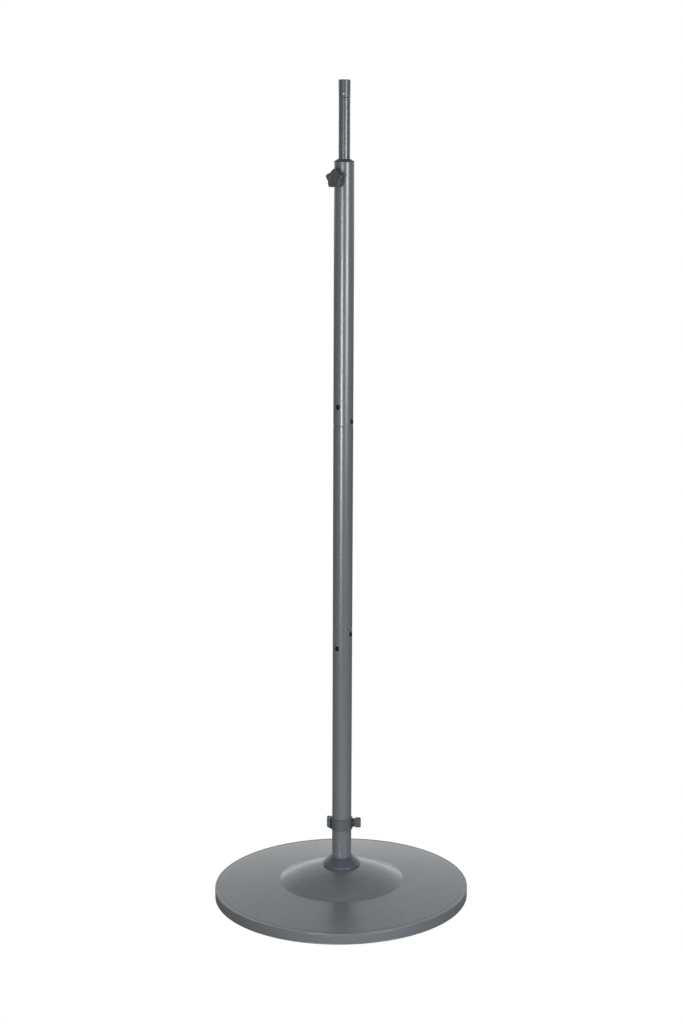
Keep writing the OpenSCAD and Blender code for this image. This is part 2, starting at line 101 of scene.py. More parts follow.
def rounded(outline, radius=0.4, steps=4, closed=True):
    """The outline with its corners filleted. A point may carry its own radius as a third value, and the two
    ends of an open outline stay sharp."""
    count = len(outline)
    made = []
    for i, point in enumerate(outline):
        here = Vector(point[:2])
        r = point[2] if len(point) > 2 else radius
        if r <= 0 or (not closed and i in (0, count - 1)):
            made.append(tuple(here))
            continue
        before = Vector(outline[i - 1][:2]) - here
        after = Vector(outline[(i + 1) % count][:2]) - here
        half = before.angle(after) / 2
        if half > math.radians(89.5):
            made.append(tuple(here))
            continue
        reach = min(r / math.tan(half), 0.48 * before.length, 0.48 * after.length)
        start = here + before.normalized() * reach
        end = here + after.normalized() * reach
        centre = here + (before.normalized() + after.normalized()).normalized() * (reach / math.cos(half))
        a, b = start - centre, end - centre
        turn = a.angle_signed(b)
        for k in range(steps + 1):
            spin = -turn * k / steps
            c, s = math.cos(spin), math.sin(spin)
            made.append((centre.x + a.x * c - a.y * s, centre.y + a.x * s + a.y * c))
    return made


def offset_face(face, t):
    """An open line of points moved sideways by t, to its left."""
    moved = []
    for i, point in enumerate(face):
        before = Vector(face[max(i - 1, 0)])
        after = Vector(face[min(i + 1, len(face) - 1)])
        along = (after - before).normalized()
        moved.append((point[0] - along.y * t, point[1] + along.x * t))
    return moved


# ---------------------------------------------------------------- meshes

def skin(rings, closed=False):
    """A mesh through rings of points in mm. A ring of one point closes an end."""
    bm = bmesh.new()
    made = [[bm.verts.new(Vector(p) * MM) for p in ring] for ring in rings]
    pairs = list(zip(made, made[1:]))
    if closed:
        pairs.append((made[-1], made[0]))
    for a, b in pairs:
        for k in range(max(len(a), len(b))):
            corners = [a[k % len(a)], a[(k + 1) % len(a)], b[(k + 1) % len(b)], b[k % len(b)]]
            corners = list(dict.fromkeys(corners))
            if len(corners) > 2:
                bm.faces.new(corners)
    bmesh.ops.recalc_face_normals(bm, faces=bm.faces)
    return bm


def circle_ring(r, z, segments):
    if r < EPS:
        return [(0, 0, z)]
    turns = [2 * math.pi * k / segments for k in range(segments)]
    return [(r * math.cos(a), r * math.sin(a), z) for a in turns]


def revolve(outline, segments=128):
    """A closed (r, z) outline turned about Z. One that starts and ends on the axis makes a solid."""
    solid = outline[0][0] < EPS and outline[-1][0] < EPS
    return skin([circle_ring(r, z, segments) for r, z in outline], closed=not solid)


def tube_between(r0, r1, z0, z1, radius=0.3, segments=96, steps=3):
    """A ring or, where r0 is 0, a rod, with rounded edges."""
    if r0 < EPS:
        line = rounded([(0, z0), (r1, z0), (r1, z1), (0, z1)], radius, steps, closed=False)
    else:
        line = rounded([(r0, z0), (r1, z0), (r1, z1), (r0, z1)], radius, steps)
    return revolve(line, segments)


def threaded(r, z0, z1, pitch, segments=36, slices=8, chamfer=0.7):
    """A rod with a real screw thread and chamfered ends."""
    depth = 0.6 * pitch
    count = max(2, round((z1 - z0) / pitch * slices))
    rings = [[(0, 0, z0)]]
    for i in range(count + 1):
        z = z0 + (z1 - z0) * i / count
        limit = r - chamfer + min(z - z0, z1 - z)
        ring = []
        for k in range(segments):
            phase = (z / pitch - k / segments) % 1.0
            crest = r - depth * min(1.0, max(0.0, abs(2 * phase - 1) * 1.25 - 0.12))
            radius = min(crest, limit)
            a = 2 * math.pi * k / segments
            ring.append((radius * math.cos(a), radius * math.sin(a), z))
        rings.append(ring)
    rings.append([(0, 0, z1)])
    return skin(rings)


def flat(r):
    """The same radius at every angle, for polar_loft."""
    return lambda a: r


def polar_loft(levels, segments):
    """A solid from levels of (z, radius at an angle). None in place of the radius closes it on the axis."""
    rings = []
    for z, radius_at in levels:
        if radius_at is None:
            rings.append([(0, 0, z)])
            continue
        turns = [2 * math.pi * k / segments for k in range(segments)]
        rings.append([(radius_at(a) * math.cos(a), radius_at(a) * math.sin(a), z) for a in turns])
    return skin(rings)


def open_ring(line, start, sweep, steps):
    """An (r, z) outline turned only part of the way about Z, in degrees, with both ends capped."""
    rings = []
    for k in range(steps + 1):
        a = math.radians(start + sweep * k / steps)
        rings.append([(r * math.cos(a), r * math.sin(a), z) for r, z in line])
    bm = skin(rings)
    bm.verts.ensure_lookup_table()
    bm.faces.new(list(bm.verts)[:len(line)])
    bm.faces.new(list(bm.verts)[-len(line):])
    bmesh.ops.recalc_face_normals(bm, faces=bm.faces)
    return bm


def slab(outline, width, edge=0.5):
    """An outline in X and Z, given depth along Y about the middle, with bevelled edges."""
    bm = bmesh.new()
    front = [bm.verts.new(Vector((x, -width / 2, z)) * MM) for x, z in outline]
    back = [bm.verts.new(Vector((x, width / 2, z)) * MM) for x, z in outline]
    bm.faces.new(front)
    bm.faces.new(back[::-1])
    for k in range(len(outline)):
        n = (k + 1) % len(outline)
        bm.faces.new([front[k], back[k], back[n], front[n]])
    bmesh.ops.recalc_face_normals(bm, faces=bm.faces)
    rims = [e for e in bm.edges if abs(e.verts[0].co.y - e.verts[1].co.y) < EPS]
    bmesh.ops.bevel(
        bm, geom=rims, offset=edge * MM, segments=3, profile=0.5, affect="EDGES", clamp_overlap=True,
    )
    return bm


def radial(bearing, z):
    """Places a piece on the pole: its +Z points outwards at the bearing and its +Y points up."""
    lift = Matrix.Translation((0, 0, z * MM))
    return Matrix.Rotation(math.radians(bearing), 4, "Z") @ lift @ Matrix.Rotation(math.pi / 2, 4, "X")


def round_base(count, r, start):
    """Places of a ring of pieces round the base."""
    turns = [math.radians(start + 360 * i / count) for i in range(count)]
    return [Matrix.Rotation(a, 4, "Z") @ Matrix.Translation((r * MM, 0, 0)) for a in turns]


def placed(bm, place):
    bm.transform(place)
    return bm


def joined(parts):
    """Several meshes as one, each still its own closed shell."""
    whole = bmesh.new()
    for bm in parts:
        mesh = bpy.data.meshes.new("part")
        bm.to_mesh(mesh)
        bm.free()
        whole.from_mesh(mesh)
        bpy.data.meshes.remove(mesh)
    return whole


def boolean(bm, tool, operation="DIFFERENCE"):
    """bm cut by, or united with, another mesh."""
    objects = []
    for source in (bm, tool):
        mesh = bpy.data.meshes.new("boolean")
        source.to_mesh(mesh)
        source.free()
        obj = bpy.data.objects.new("boolean", mesh)
        bpy.context.scene.collection.objects.link(obj)
        objects.append(obj)
    modifier = objects[0].modifiers.new("boolean", "BOOLEAN")
    modifier.operation = operation
    modifier.solver = "EXACT"
    modifier.object = objects[1]
    graph = bpy.context.evaluated_depsgraph_get()
    made = bmesh.new()
    made.from_mesh(objects[0].evaluated_get(graph).to_mesh())
    for obj in objects:
        mesh = obj.data
        bpy.data.objects.remove(obj)
        bpy.data.meshes.remove(mesh)
    bmesh.ops.remove_doubles(made, verts=made.verts, dist=0.002 * MM)
    return made


def drilled(bm, holes):
    """bm with round holes. Each hole is (radius, start, end, placement)."""
    tools = [placed(tube_between(0, r, z0, z1, 0, 48), place) for r, z0, z1, place in holes]
    return boolean(bm, joined(tools))


def piece(node, bm, body, material, sharp=38):
    """Makes the finished piece that stands for a CAD node."""
    mesh = bpy.data.meshes.new(node + "_finished")
    bm.to_mesh(mesh)
    bm.free()
    for polygon in mesh.polygons:
        polygon.use_smooth = True
    mesh.set_sharp_from_angle(angle=math.radians(sharp))
    mesh.materials.append(material)
    obj = bpy.data.objects.new(node + "_finished", mesh)
    bpy.context.scene.collection.objects.link(obj)
    weighted = obj.modifiers.new("normals", "WEIGHTED_NORMAL")
    weighted.keep_sharp = True
    if body:
        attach(obj, body)
    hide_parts(node)
    return obj


# ---------------------------------------------------------------- materials

def srgb(r, g, b):
    """An sRGB colour of 0 to 255 values, as linear values."""
    def linear(v):
        v /= 255
        return v / 12.92 if v <= 0.04045 else ((v + 0.055) / 1.055) ** 2.4
    return (linear(r), linear(g), linear(b), 1.0)


class Nodes:
    """Short calls for building one material's node tree."""

    def __init__(self, name):
        self.material = bpy.data.materials.new(name)
        self.material.use_nodes = True
        self.tree = self.material.node_tree
        self.shader = self.tree.nodes["Principled BSDF"]
        coordinates = self.tree.nodes.new("ShaderNodeTexCoord")
        self.where = coordinates.outputs["Object"]

    def link(self, a, b):
        self.tree.links.new(a, b)

    def add(self, kind, **inputs):
        made = self.tree.nodes.new(kind)
        for key, value in inputs.items():
            socket = made.inputs[key.replace("_", " ")]
            if isinstance(value, bpy.types.NodeSocket):
                self.link(value, socket)
            else:
                socket.default_value = value
        return made

    def noise(self, scale, detail=2.0, rough=0.5, where=None):
        made = self.add("ShaderNodeTexNoise", Scale=scale, Detail=detail, Roughness=rough)
        self.link(where or self.where, made.inputs["Vector"])
        return made.outputs["Fac"]

    def stretched(self, x, y, z):
        made = self.add("ShaderNodeMapping", Vector=self.where)
        made.inputs["Scale"].default_value = (x, y, z)
        return made.outputs["Vector"]

    def remap(self, value, low_in, high_in, low_out, high_out):
        made = self.add("ShaderNodeMapRange", Value=value)
        keys = ("From Min", "From Max", "To Min", "To Max")
        for key, v in zip(keys, (low_in, high_in, low_out, high_out)):
            made.inputs[key].default_value = v
        return made.outputs["Result"]

    def math(self, operation, a, b=0.0):
        made = self.tree.nodes.new("ShaderNodeMath")
        made.operation = operation
        for socket, value in zip(made.inputs, (a, b)):
            if isinstance(value, bpy.types.NodeSocket):
                self.link(value, socket)
            else:
                socket.default_value = value
        return made.outputs["Value"]

    def mix(self, share, a, b):
        made = self.tree.nodes.new("ShaderNodeMix")
        made.data_type = "RGBA"
        for socket, value in ((made.inputs[0], share), (made.inputs[6], a), (made.inputs[7], b)):
            if isinstance(value, bpy.types.NodeSocket):
                self.link(value, socket)
            else:
                socket.default_value = value
        return made.outputs[2]

    def edges(self, low_in=0.52, high_in=0.62):
        """High on convex edges."""
        geometry = self.tree.nodes.new("ShaderNodeNewGeometry")
        return self.remap(geometry.outputs["Pointiness"], low_in, high_in, 0.0, 1.0)

    def upward(self):
        """High on faces that look up."""
        geometry = self.tree.nodes.new("ShaderNodeNewGeometry")
        split = self.add("ShaderNodeSeparateXYZ", Vector=geometry.outputs["Normal"])
        return self.remap(split.outputs["Z"], 0.3, 0.95, 0.0, 1.0)

    def bump(self, *layers):
        """Stacks (height, distance in mm) layers into one bump."""
        normal = None
        for height, distance in layers:
            made = self.add("ShaderNodeBump", Height=height)
            made.inputs["Strength"].default_value = 1.0
            made.inputs["Distance"].default_value = distance * MM
            if normal is not None:
                self.link(normal, made.inputs["Normal"])
            normal = made.outputs["Normal"]
        self.link(normal, self.shader.inputs["Normal"])

    def set(self, **values):
        for key, value in values.items():
            socket = self.shader.inputs[key.replace("_", " ")]
            if isinstance(value, bpy.types.NodeSocket):
                self.link(value, socket)
            else:
                socket.default_value = value


def paint(name, colour, roughness, peel_mm=0.006, coat=0.25):
    """Satin powder coat: orange peel, soft tone drift, thinner paler paint on edges and a trace of dust."""
    n = Nodes(name)
    dark = tuple(c * 0.93 for c in colour[:3]) + (1.0,)
    pale = tuple(min(1.0, c * 1.5 + 0.02) for c in colour[:3]) + (1.0,)
    drift = n.remap(n.noise(9.0, 3.0), 0.3, 0.7, 0.0, 1.0)
    tone = n.mix(drift, dark, colour)
    speck = n.remap(n.noise(2600.0, 1.0), 0.62, 0.74, 0.0, 0.15)
    tone = n.mix(speck, tone, pale)
    worn = n.math("MULTIPLY", n.edges(0.57, 0.66), n.remap(n.noise(160.0, 4.0), 0.45, 0.65, 0.0, 0.25))
    tone = n.mix(worn, tone, pale)
    dust = n.math("MULTIPLY", n.upward(), n.remap(n.noise(55.0, 6.0, 0.65), 0.5, 0.85, 0.0, 0.06))
    tone = n.mix(dust, tone, (0.5, 0.5, 0.49, 1.0))
    sheen = n.remap(n.noise(14.0, 1.0), 0.3, 0.7, roughness - 0.02, roughness + 0.02)
    n.set(Base_Color=tone, Roughness=sheen)
    n.set(Coat_Weight=coat, Coat_Roughness=0.22, Specular_IOR_Level=0.5)
    n.bump((n.noise(620.0, 2.0), peel_mm), (n.noise(2600.0, 1.0), peel_mm * 0.25))
    return n.material


def moulded(name, colour, roughness, grain_mm=0.02, grain=1500.0, fade=1.3, painted_shade_x=None, painted_light_x=None):
    """Moulded plastic: fine spark-erosion grain, slight flow marks and paler rubbed edges. Given the two X
    limits, in mm, it has painted shade, near black, to the right of the first and painted light, a paler
    tone, to the left of the second."""
    n = Nodes(name)
    dark = tuple(c * 0.9 for c in colour[:3]) + (1.0,)
    pale = tuple(min(1.0, c * fade + 0.01) for c in colour[:3]) + (1.0,)
    flow = n.remap(n.noise(70.0, 3.0, 0.6, n.stretched(1.0, 1.0, 0.35)), 0.3, 0.7, 0.0, 1.0)
    tone = n.mix(flow, dark, colour)
    rubbed = n.math("MULTIPLY", n.edges(), n.remap(n.noise(420.0, 3.0), 0.35, 0.65, 0.1, 0.8))
    tone = n.mix(rubbed, tone, pale)
    if painted_shade_x is not None:
        # painted shade: beyond the first X limit the colour goes to near black, its strength drifting a
        # little with noise
        split = n.add("ShaderNodeSeparateXYZ", Vector=n.where)
        beyond = n.remap(split.outputs["X"], painted_shade_x * MM, (painted_shade_x + 2.5) * MM, 0.0, 1.0)
        painted_shade = n.math("MULTIPLY", beyond, n.remap(n.noise(180.0, 3.0), 0.3, 0.6, 0.75, 0.95))
        tone = n.mix(painted_shade, tone, (0.012, 0.012, 0.013, 1.0))
        # painted light: a paler tone left of the second X limit, on the ring's lug
        tone = n.mix(n.remap(split.outputs["X"], (painted_light_x - 1.0) * MM, painted_light_x * MM, 1.0, 0.0), tone, pale)
    sheen = n.remap(n.noise(60.0, 1.0), 0.3, 0.7, roughness - 0.04, roughness + 0.04)
    n.set(Base_Color=tone, Roughness=sheen, Specular_IOR_Level=0.45)
    n.bump((n.noise(grain, 2.0), grain_mm), (n.noise(90.0, 2.0), grain_mm * 1.5))
    return n.material


def metal(name, colour, roughness, brush=(1.0, 1.0, 30.0), mark_mm=0.004, spots=0.0):
    """Bare or plated metal with fine turning or brushing marks and, with spots above 0, a mottled film."""
    n = Nodes(name)
    lines = n.noise(180.0, 4.0, 0.6, n.stretched(*brush))
    film = n.remap(n.noise(85.0, 5.0, 0.65), 0.42, 0.7, 0.0, spots)
    dull = tuple(c * 0.6 for c in colour[:3]) + (1.0,)
    shade = n.mix(n.remap(lines, 0.3, 0.7, 0.0, 0.35), colour, dull)
    n.set(Base_Color=n.mix(film, shade, dull), Metallic=1.0)
    rough = n.remap(lines, 0.3, 0.7, roughness - 0.06, roughness + 0.08)
    n.set(Roughness=n.math("ADD", rough, n.math("MULTIPLY", film, 0.3)))
    n.bump((lines, mark_mm))
    return n.material


def rubber(name):
    n = Nodes(name)
    powder = n.remap(n.noise(130.0, 5.0, 0.6), 0.4, 0.75, 0.0, 0.25)
    n.set(Base_Color=n.mix(powder, (0.022, 0.022, 0.024, 1.0), (0.12, 0.12, 0.12, 1.0)))
    n.set(Roughness=n.remap(n.noise(300.0, 3.0), 0.3, 0.7, 0.62, 0.82), Specular_IOR_Level=0.35)
    n.bump((n.noise(900.0, 3.0), 0.03))
    return n.material


def cast(name):
    """Cast ballast: pores, aggregate and grey cement."""
    n = Nodes(name)
    drift = n.remap(n.noise(45.0, 6.0, 0.6), 0.3, 0.7, 0.0, 1.0)
    tone = n.mix(drift, (0.20, 0.20, 0.19, 1.0), (0.36, 0.355, 0.34, 1.0))
    pores = n.remap(n.noise(420.0, 2.0), 0.62, 0.7, 0.0, 1.0)
    n.set(Base_Color=n.mix(pores, tone, (0.10, 0.10, 0.095, 1.0)), Roughness=0.9)
    n.bump((n.noise(120.0, 6.0, 0.6), 0.35), (n.math("SUBTRACT", 1.0, pores), 0.3))
    return n.material


PAINT_BASE = paint("base_powder_coat", srgb(85, 89, 92), 0.30)
PAINT_POLE = paint("pole_powder_coat", srgb(88, 92, 96), 0.29, 0.002)
PAINT_MAST = paint("mast_powder_coat", srgb(75, 78, 82), 0.29, 0.0015)
COLLAR = moulded("collar_plastic", srgb(63, 68, 77), 0.42)
# painted shade, near black, on the ring's right side round the thumb-screw boss (X beyond 17.5 mm) and
# painted light, a paler tone, on the lug (X left of -21.5 mm)
RING = moulded("ring_plastic", srgb(70, 76, 80), 0.42, painted_shade_x=17.5, painted_light_x=-21.5)
CAP = moulded("cap_plastic", srgb(62, 65, 70), 0.42)
KNOB = moulded("knob_plastic", srgb(58, 60, 65), 0.5, 0.03, 1200.0)
RING_KNOB = moulded("ring_knob_plastic", srgb(67, 70, 74), 0.5, 0.03, 1200.0)
NYLON = moulded("natural_nylon", srgb(218, 215, 204), 0.45, 0.015, 900.0, 1.05)
ZINC = metal("zinc_plate", (0.62, 0.62, 0.60, 1.0), 0.32, spots=0.35)
STEEL = metal("bare_steel", (0.50, 0.49, 0.48, 1.0), 0.34, (1.0, 1.0, 14.0), spots=0.5)
BLACK_OXIDE = metal("black_oxide", (0.02, 0.02, 0.022, 1.0), 0.42, (1.0, 1.0, 1.0), spots=0.3)
BUTTON = metal("button_steel", (0.38, 0.38, 0.39, 1.0), 0.48, (1.0, 1.0, 1.0))
BRASS = metal("insert_brass", (0.78, 0.58, 0.26, 1.0), 0.3)
FOOT_RUBBER = rubber("foot_rubber")
CAST = cast("cast_ballast")


# ---------------------------------------------------------------- base

COVER_T = 1.5
RIM_H = 22.0
RIM_ROUND = 2.0
CREASE_R = 244.0
CREASE_Z = 21.6
ROLL_OFF = 5.0
ROLL_DROP = 0.5
PLATE_BULGE = 0.6
DOME_FOOT_Z = 32.0
DOME_SPHERE_R = 246.0
DOME_CENTRE_Z = 64.4 - DOME_SPHERE_R
SEAT_Z = high("base_cover")
PAN_T = 1.2
PAN_Z = high("rubber_feet") - 3.65
HEM_R = 1.4
HEM_Z = low("base_pan") + HEM_R
POCKET_Z = high("load_washer")
POCKET_R = 44.0
FEET = round_base(6, 215.0, 30.0)
PAN_SCREWS = round_base(4, 185.0, 45.0)
FOOT_H = 2.0


def dome_r(z):
    """Radius of the dome's sphere at a height."""
    return math.sqrt(DOME_SPHERE_R ** 2 - (z - DOME_CENTRE_Z) ** 2)


def dome_angle(z):
    return math.degrees(math.atan2(z - DOME_CENTRE_Z, dome_r(z)))


def plate_z(r):
    """Height of the slightly arched plate, which rolls off into the crease."""
    u = (CREASE_R - r) / (CREASE_R - dome_r(DOME_FOOT_Z))
    edge_z = CREASE_Z + ROLL_DROP
    drop = ROLL_DROP * (max(0.0, r - CREASE_R + ROLL_OFF) / ROLL_OFF) ** 2
    return edge_z + (DOME_FOOT_Z - edge_z) * u + 4 * PLATE_BULGE * u * (1 - u) - drop


def cover_face():
    """Outer face of the cover, from the rim's foot up over the plate and the dome to the seat's hole."""
    foot_z = low("base_cover")
    face = [(BASE_R, foot_z), (BASE_R, RIM_H - RIM_ROUND)]
    face += arc(BASE_R - RIM_ROUND, RIM_H - RIM_ROUND, RIM_ROUND, 0, 90, 10)[1:]
    # a gentle lip falls from the rim's rounding into the crease
    face += [(CREASE_R + 2.4, RIM_H - 0.1), (CREASE_R + 0.8, CREASE_Z + 0.1)]
    face += [(CREASE_R - ROLL_OFF * i / 8, plate_z(CREASE_R - ROLL_OFF * i / 8)) for i in range(8)]
    blend = 2.5
    foot_r = dome_r(DOME_FOOT_Z)
    plate_start, plate_end = CREASE_R - ROLL_OFF, foot_r + blend
    for i in range(17):
        r = plate_start + (plate_end - plate_start) * i / 16
        face.append((r, plate_z(r)))
    # a quadratic curve eases the plate into the dome
    start = Vector(face[-1])
    corner = Vector((foot_r, DOME_FOOT_Z - 0.1))
    dome_start = foot_r - blend
    end = Vector((dome_start, DOME_CENTRE_Z + math.sqrt(DOME_SPHERE_R ** 2 - dome_start ** 2)))
    for i in range(1, 8):
        t = i / 8
        p = start * (1 - t) ** 2 + corner * (2 * t * (1 - t)) + end * t ** 2
        face.append((p.x, p.y))
    face += arc(0, DOME_CENTRE_Z, DOME_SPHERE_R, dome_angle(end.y), dome_angle(SEAT_Z), 26)
    face += [(dome_r(SEAT_Z) - 1.5, SEAT_Z), (6.5, SEAT_Z)]
    return face


def base_cover():
    outer = cover_face()
    inner = offset_face(outer, COVER_T)
    inner[0] = (BASE_R - COVER_T, outer[0][1])
    inner[-1] = (6.5, SEAT_Z - COVER_T)
    return revolve(outer + inner[::-1], 256)


def base_pan():
    edge_r = high("base_pan", 0) - HEM_R
    line = arc(edge_r, HEM_Z, HEM_R, 112, -184, 24)
    line += rounded([
        (POCKET_R, PAN_Z, 1.0), (POCKET_R, POCKET_Z, 1.0), (6.5, POCKET_Z), (6.5, POCKET_Z + PAN_T),
        (POCKET_R + PAN_T, POCKET_Z + PAN_T, 1.8), (POCKET_R + PAN_T, PAN_Z + PAN_T, 0.6),
    ], 0.2, 4)
    holes = [(4.0, 0, 8, place) for place in FEET] + [(2.65, 0, 8, place) for place in PAN_SCREWS]
    return drilled(revolve(line, 256), holes)


def base_weight():
    floor_z = low("base_weight")
    pocket = POCKET_Z + PAN_T + RUN_GAP
    top_z = 17.4
    radius = high("base_weight", 0)
    line = rounded([
        (6.5, pocket), (POCKET_R + 4, pocket), (POCKET_R + 4, floor_z), (radius, floor_z, 2.5),
        (radius, top_z, 2.5), (118, top_z, 8.0), (62, high("base_weight"), 3.0), (6.5, high("base_weight")),
    ], 0.6, 4)
    holes = [(7.0, 0, 7.2, place) for place in FEET] + [(2.52, 0, 13.5, place) for place in PAN_SCREWS]
    return drilled(revolve(line, 192), holes)


def rubber_feet():
    top = high("rubber_feet")
    line = rounded([
        (0, 0.5), (8.2, 0.5), (8.6, 0), (11.2, 0), (12, 0.8), (12, FOOT_H),
        (3.95, FOOT_H), (3.95, top - 2.4), (5.2, top - 2.4), (3.2, top), (0, top),
    ], 0.35, 3, closed=False)
    return joined([placed(revolve(line, 64), place) for place in FEET])


def pan_screws():
    """Pan-head screws with a cross slot."""
    outline = [(0, 0.6), (3.0, 0.66), (4.2, 1.2), (4.6, 1.75), (4.6, FOOT_H), (0, FOOT_H)]
    slot = [(-2.3, 0), (2.3, 0), (2.0, 1.4), (-2.0, 1.4)]
    screws = []
    for place in PAN_SCREWS:
        head = revolve(rounded(outline, 0.5, 3, closed=False), 64)
        for turn in (0, math.pi / 2):
            head = boolean(head, placed(slab(slot, 0.9, 0.05), Matrix.Rotation(turn, 4, "Z")))
        screws.append(placed(joined([head, threaded(2.5, FOOT_H, high("pan_screws"), 1.6)]), place))
    return joined(screws)


def centre_bolt():
    head_z = low("centre_bolt")
    seat = low("lock_washer")
    flats = 18.0

    def hexagon(scale, limit=99.0):
        def radius_at(a):
            across = (a + math.pi / 6) % (math.pi / 3) - math.pi / 6
            return min(flats / 2 / math.cos(across) * scale, limit)
        return radius_at

    head = polar_loft([
        (head_z, None), (head_z, hexagon(0.5)), (head_z, hexagon(1.0, 8.7)),
        (head_z + 0.5, hexagon(1.0, 9.6)), (head_z + 1.0, hexagon(1.0)),
        (seat - 0.3, hexagon(1.0)), (seat, hexagon(0.98)), (seat, None),
    ], 96)
    return joined([head, threaded(6.0, seat, high("centre_bolt"), 1.75, 48)])


def lock_washer():
    z0, z1 = low("lock_washer"), high("lock_washer")
    return open_ring(rounded([(6.1, z0), (10.5, z0), (10.5, z1), (6.1, z1)], 0.25, 2), 5, 350, 64)


# ---------------------------------------------------------------- pole

def foot_collar():
    z0 = low("foot_collar")
    top = high("foot_collar")
    lip = 2.4
    face = [
        (36.5, 0, 0.4), (36.5, 2.6, 0.6), (35.6, 4.2, 1.0), (31.1, 8.8, 8.0), (25.7, 13.6, 8.0),
        (21.3, 17.0, 1.0), (20.8, top - z0, 0.3), (19.1, top - z0, 0.3),
    ]
    inner = [
        (19.1, top - z0 - lip, 0.3), (21.0, 14.6, 1.0), (24.0, 11.8, 5.0), (29.4, 7.0, 5.0),
        (34.1, 1.8, 0.6), (34.1, 0, 0.3),
    ]
    line = rounded([(p[0], p[1] + z0, p[2]) for p in face + inner], 0.4, 5)
    return revolve(line, 160)


def pole_section(node, screws):
    z0, z1, chamfer = low(node), high(node), 0.8
    line = rounded([
        (POLE_BORE, z0), (POLE_R - chamfer, z0), (POLE_R, z0 + chamfer),
        (POLE_R, z1 - chamfer), (POLE_R - chamfer, z1), (POLE_BORE, z1),
    ], 0.25, 3)
    tube = revolve(line, 128)
    holes = [(2.75, 14, 22, radial(bearing, z)) for z, bearing in screws]
    return drilled(tube, holes) if holes else tube


def upper_tube():
    clamp_hole = (4.0, 14, 22, radial(CLAMP_BEARING, CLAMP_Z))
    return drilled(pole_section("upper_tube", UPPER_SCREWS), [clamp_hole])


def coupler(node, screws):
    sleeve = tube_between(14.9, 17.4, low(node), high(node), 0.8, 96)
    return drilled(sleeve, [(2.52, 12, 20, radial(bearing, z)) for z, bearing in screws])


def button_head_screw():
    """A button-head screw with a hex socket, its seat at the pole's surface."""
    head_r, head_h, socket, depth = 4.75, 2.75, 1.5, 1.6
    sphere_r = (head_r ** 2 + head_h ** 2) / (2 * head_h)

    def hexagon(apothem):
        return lambda a: apothem / math.cos((a + math.pi / 6) % (math.pi / 3) - math.pi / 6)

    top = POLE_R + head_h
    levels = [(POLE_R, None), (POLE_R, flat(2.4)), (POLE_R, flat(head_r - 0.25))]
    levels.append((POLE_R + 0.25, flat(head_r)))
    for share in (0.94, 0.86, 0.76, 0.66, 0.56, 0.48):
        r = head_r * share
        levels.append((top - sphere_r + math.sqrt(sphere_r ** 2 - r ** 2), flat(r)))
    levels += [(top - 0.12, hexagon(socket + 0.12)), (top - 0.3, hexagon(socket))]
    levels += [(top - depth, hexagon(socket * 0.98)), (top - depth - 0.3, hexagon(socket * 0.5))]
    levels.append((top - depth - 0.4, None))
    return joined([polar_loft(levels, 72), threaded(2.5, POLE_R - 5.5, POLE_R + 0.1, 0.8, 36)])


def joint_screws(screws):
    return joined([placed(button_head_screw(), radial(bearing, z)) for z, bearing in screws])


# ---------------------------------------------------------------- cable ring

RING_H = 22.5
RING_BOSS_R = 8.5
LUG_REACH = 29.4
EYE_R = 24.8
EYE_D = 5.8


def cable_lug():
    """The lug on the ring's left: a slanted foot and soft upright corners."""
    width, corner = 12.0, 3.0
    reach = LUG_REACH
    side = rounded([
        (20.4, 1.2), (21.6, 1.2, 1.0), (24.6, 2.6, 2.0), (reach, 5.2, 1.4), (reach, 23.8, 1.3),
        (20.4, 23.8),
    ], 0.3, 5)
    body = slab([(-r, z + RING_Z) for r, z in side], width, 0.4)
    plan = rounded([
        (-reach, -width / 2, corner), (-17, -width / 2), (-17, width / 2), (-reach, width / 2, corner),
    ], 0.1, 8)
    foot, head = RING_Z - 5, RING_Z + 40
    rings = [[(-20, 0, foot)]]
    rings += [[(x, y, z) for x, y in plan] for z in (foot, head)]
    rings.append([(-20, 0, head)])
    return boolean(body, skin(rings), "INTERSECT")


def cable_ring():
    top = RING_Z + RING_H
    line = rounded([(19.1, RING_Z), (21.5, RING_Z, 0.7), (21.5, top, 1.3), (19.1, top)], 0.3, 6)
    whole = revolve(line, 144)
    boss = placed(tube_between(0, RING_BOSS_R, 20.0, 25.0, 0.5, 72), radial(90, RING_SCREW_Z))
    nib = rounded([(0, 28.3), (1.2, 28.3), (1.2, 31.3, 0.7), (0, 31.3)], 0.1, 4, closed=False)
    nib = placed(revolve(nib, 32), radial(-90, RING_Z + 6.7))
    for extra in (boss, cable_lug(), nib):
        whole = boolean(whole, extra, "UNION")
    bore = revolve([(0, RING_Z - 3), (19.1, RING_Z - 3), (19.1, top + 5), (0, top + 5)], 144)
    eye_line = [
        (0, RING_Z - 5), (EYE_D / 2, RING_Z - 5), (EYE_D / 2, RING_Z + 22.8),
        (EYE_D / 2 + 1.1, RING_Z + 25), (0, RING_Z + 25),
    ]
    eye = placed(revolve(eye_line, 64), Matrix.Translation((-EYE_R * MM, 0, 0)))
    whole = boolean(boolean(whole, bore), eye)
    place = radial(90, RING_SCREW_Z)
    return drilled(whole, [(3.05, 5, 22.05, place), (4.0, 22.0, 30, place)])


